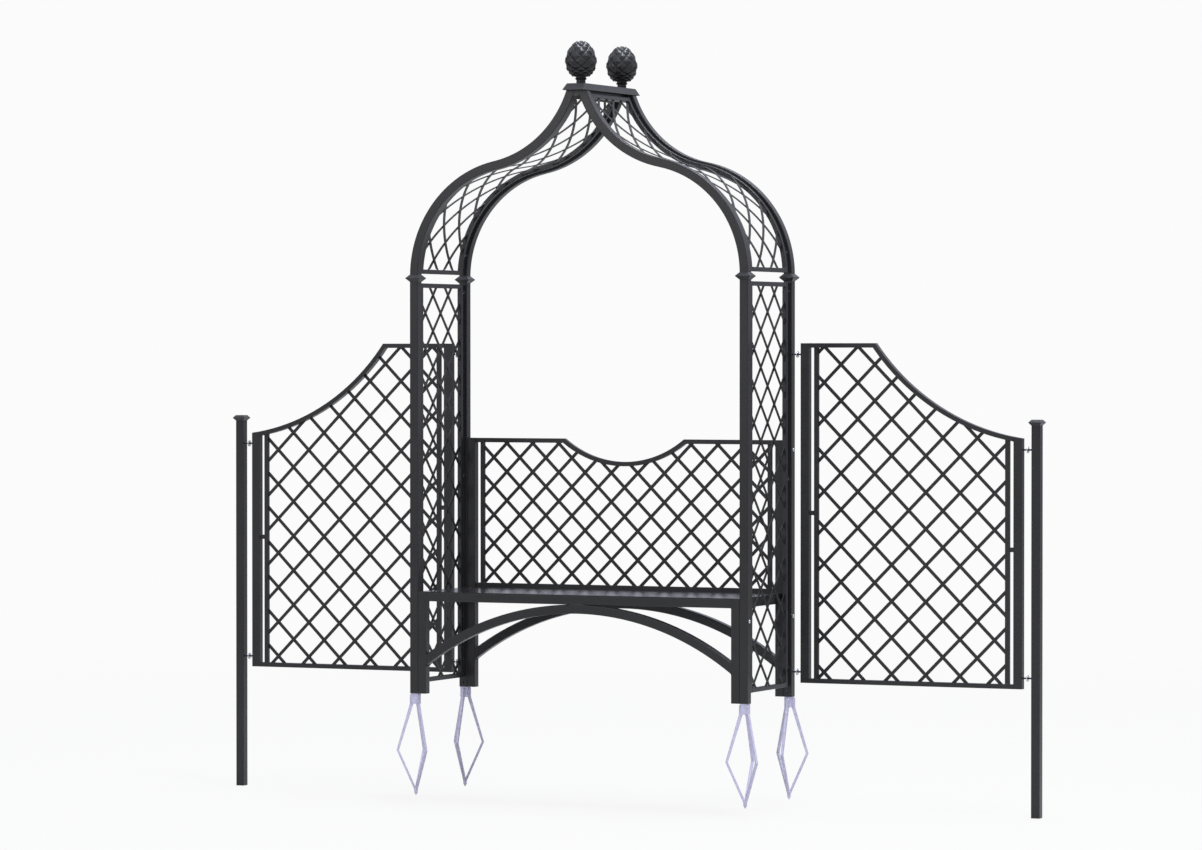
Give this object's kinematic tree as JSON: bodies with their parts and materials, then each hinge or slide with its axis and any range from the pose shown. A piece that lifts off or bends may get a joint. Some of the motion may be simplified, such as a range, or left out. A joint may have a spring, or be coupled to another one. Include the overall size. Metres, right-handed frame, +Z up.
{
  "type": "arbor bench",
  "caption": "Garden arbor with an ogee arch over a lattice-backed bench, trellis sides and two lattice wings on ground posts.",
  "frame": {"origin": "ground level, midway between the four arbor posts", "axes": "+X to the right seen from the front, -Y towards the front, +Z up"},
  "size_m": [4.015, 0.606, 3.4199],
  "materials": {
    "frame_paint": "semi-gloss anthracite powder coat",
    "seat_paint": "gloss anthracite powder coat",
    "finial_paint": "anthracite paint on a casting",
    "zinc": "galvanised",
    "bright_steel": "zinc plated"
  },
  "bodies": {
    "root": {"post_front_left": "frame_paint", "post_front_right": "frame_paint", "post_back_left": "frame_paint", "post_back_right": "frame_paint", "capital_front_left": "frame_paint", "capital_front_right": "frame_paint", "capital_back_left": "frame_paint", "capital_back_right": "frame_paint", "arch_tube_front_left": "frame_paint", "arch_tube_front_right": "frame_paint", "arch_tube_back_left": "frame_paint", "arch_tube_back_right": "frame_paint", "side_frame_left": "frame_paint", "side_frame_right": "frame_paint", "side_lattice_left": "frame_paint", "side_lattice_right": "frame_paint", "arch_frame_left": "frame_paint", "arch_frame_right": "frame_paint", "arch_lattice_left": "frame_paint", "arch_lattice_right": "frame_paint", "ridge_cap": "frame_paint", "ridge_beam": "frame_paint", "finial_stem_front": "finial_paint", "finial_stem_back": "finial_paint", "finial_cone_front": "finial_paint", "finial_cone_back": "finial_paint", "seat_sheet": "seat_paint", "seat_front_rail": "frame_paint", "seat_back_rail": "frame_paint", "seat_side_rail_left": "frame_paint", "seat_side_rail_right": "frame_paint", "bench_leg_front_left": "frame_paint", "bench_leg_front_right": "frame_paint", "bench_leg_back_left": "frame_paint", "bench_leg_back_right": "frame_paint", "brace_front": "frame_paint", "brace_back": "frame_paint", "back_frame": "frame_paint", "back_lattice": "frame_paint", "wing_frame_left": "frame_paint", "wing_frame_right": "frame_paint", "wing_lattice_left": "frame_paint", "wing_lattice_right": "frame_paint", "wing_spacers": "frame_paint", "wing_studs": "bright_steel", "wing_stud_discs": "bright_steel", "outer_post_left": "frame_paint", "outer_post_right": "frame_paint", "outer_post_cap_left": "frame_paint", "outer_post_cap_right": "frame_paint", "panel_fixings": "bright_steel", "bench_bolts": "bright_steel", "bench_nuts": "bright_steel", "anchor_front_left": "zinc", "anchor_front_right": "zinc", "anchor_back_left": "zinc", "anchor_back_right": "zinc", "anchor_set_screws": "bright_steel"}
  },
  "joints": []
}
